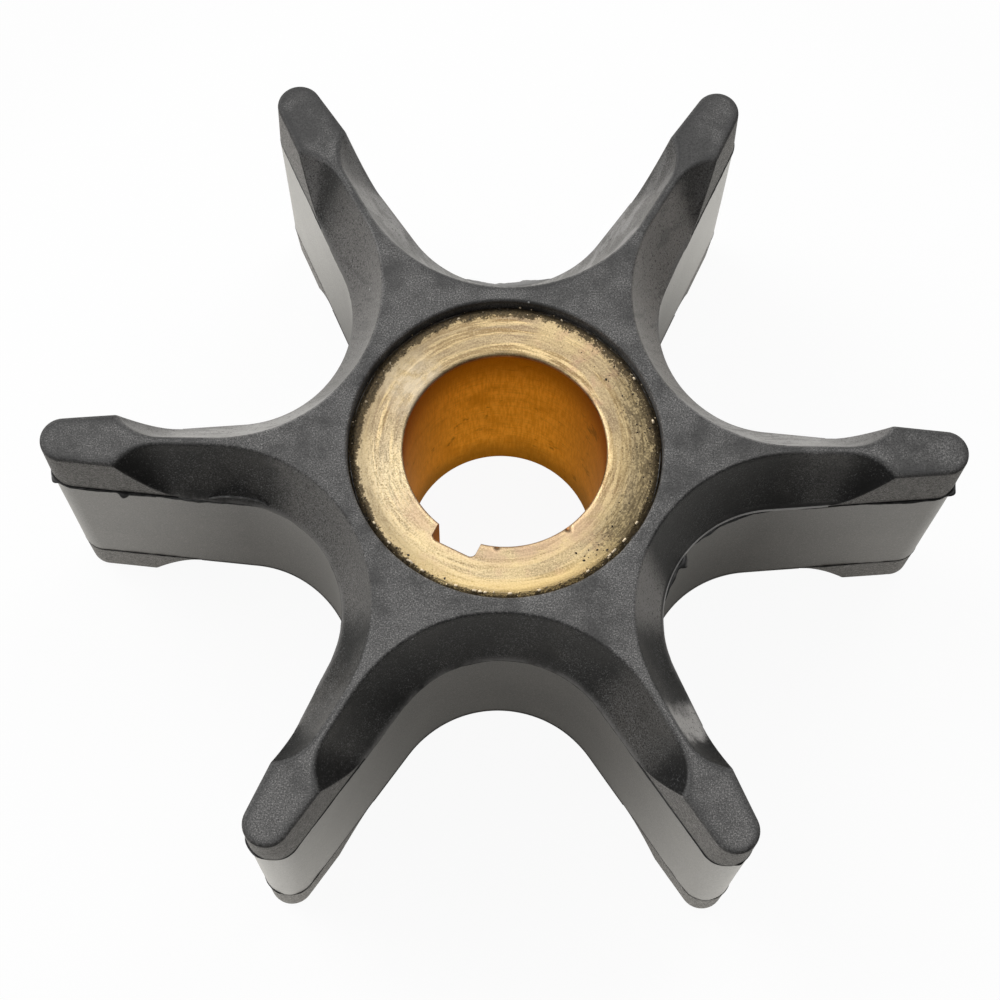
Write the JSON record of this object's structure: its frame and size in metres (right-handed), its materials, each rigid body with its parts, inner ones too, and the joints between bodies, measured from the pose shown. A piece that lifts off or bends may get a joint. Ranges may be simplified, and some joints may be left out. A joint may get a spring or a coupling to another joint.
{
  "type": "pump impeller",
  "caption": "Straight-vane rubber pump impeller moulded on a brass bush with a keyed bore, with scooped faces and thick vane end pads.",
  "frame": {"origin": "on the shaft axis at half the wheel's thickness", "axes": "+Z along the shaft bore, out of the upper face; +X along the first vane; the keyway lies 244 degrees from it"},
  "size_m": [0.0794, 0.0694, 0.0286],
  "materials": {
    "rubber": "dull moulded black rubber with a fine speckle, paler and smoother between the parting lines",
    "brass": "turned face with fine rings, darkened towards the rim, tarnished amber bore"
  },
  "bodies": {
    "root": {"rubber_vane_wheel": "rubber", "keyed_bush": "brass"}
  },
  "joints": []
}
